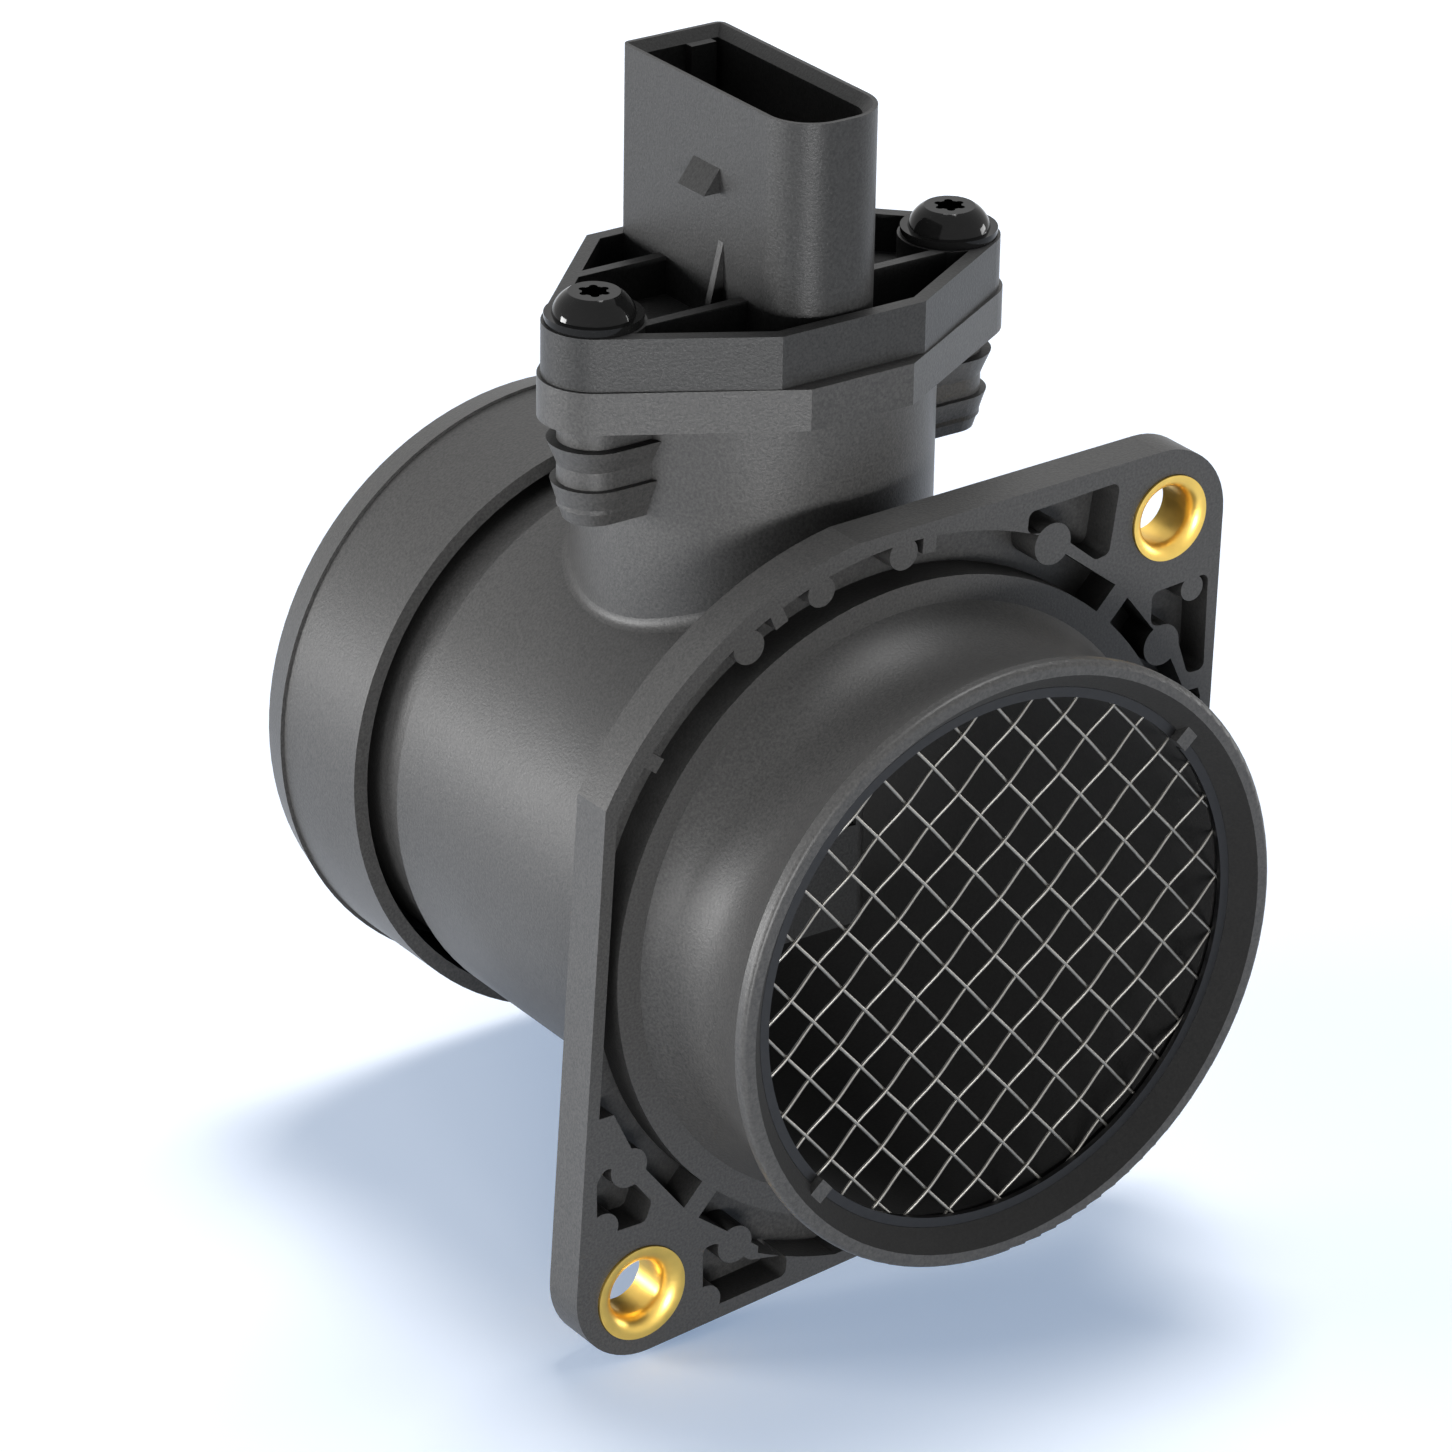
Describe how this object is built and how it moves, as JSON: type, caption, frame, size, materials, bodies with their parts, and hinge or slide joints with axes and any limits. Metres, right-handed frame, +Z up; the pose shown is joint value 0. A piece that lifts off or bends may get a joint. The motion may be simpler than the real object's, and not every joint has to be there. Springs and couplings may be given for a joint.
{
  "type": "mass airflow sensor",
  "caption": "Moulded round air-duct sensor with a slanted two-ear flange, a screened inlet, a hose spigot and a screwed-on plug-in measuring head with a socket.",
  "frame": {"origin": "where the duct axis crosses the front face of the bolt flange", "axes": "+Y along the duct in the direction of the air flow, towards the hose spigot; +Z up along the sensor tower; +X to the right seen from the inlet"},
  "size_m": [0.0834, 0.0927, 0.1296],
  "materials": {
    "housing_plastic": "fine-grained moulded glass-filled plastic, dark grey",
    "sensor_plastic": "fine-grained moulded plastic, near black",
    "brass": "bright turned brass",
    "black_steel": "glossy black coated steel",
    "steel_wire": "bright steel wire",
    "ring_steel": "dull steel strip",
    "seal_rubber": "soft sealing rubber",
    "aluminium": "rolled sheet",
    "ceramic_board": "coated circuit board",
    "black_epoxy": "moulded chip package",
    "carrier_plastic": "smooth moulded carrier",
    "silicon": "polished chip surface",
    "sensor_bead": "dipped sensor bead",
    "tinned_contact": "tin-plated contact blade"
  },
  "bodies": {
    "root": {"base_plate": "aluminium", "bush_lower_left": "brass", "bush_upper_right": "brass", "circuit_board": "ceramic_board", "circuit_cover": "sensor_plastic", "contact_1": "tinned_contact", "contact_2": "tinned_contact", "contact_3": "tinned_contact", "contact_4": "tinned_contact", "contact_5": "tinned_contact", "housing": "housing_plastic", "passage_cover": "sensor_plastic", "power_chip": "black_epoxy", "screen_mesh": "steel_wire", "screen_ring_lower": "ring_steel", "screen_ring_upper": "ring_steel", "screw_left": "black_steel", "screw_right": "black_steel", "seal_ring": "seal_rubber", "sensor_body": "sensor_plastic", "sensor_carrier": "carrier_plastic", "sensor_chip": "silicon", "signal_chip": "black_epoxy", "temperature_sensor": "sensor_bead"}
  },
  "joints": []
}
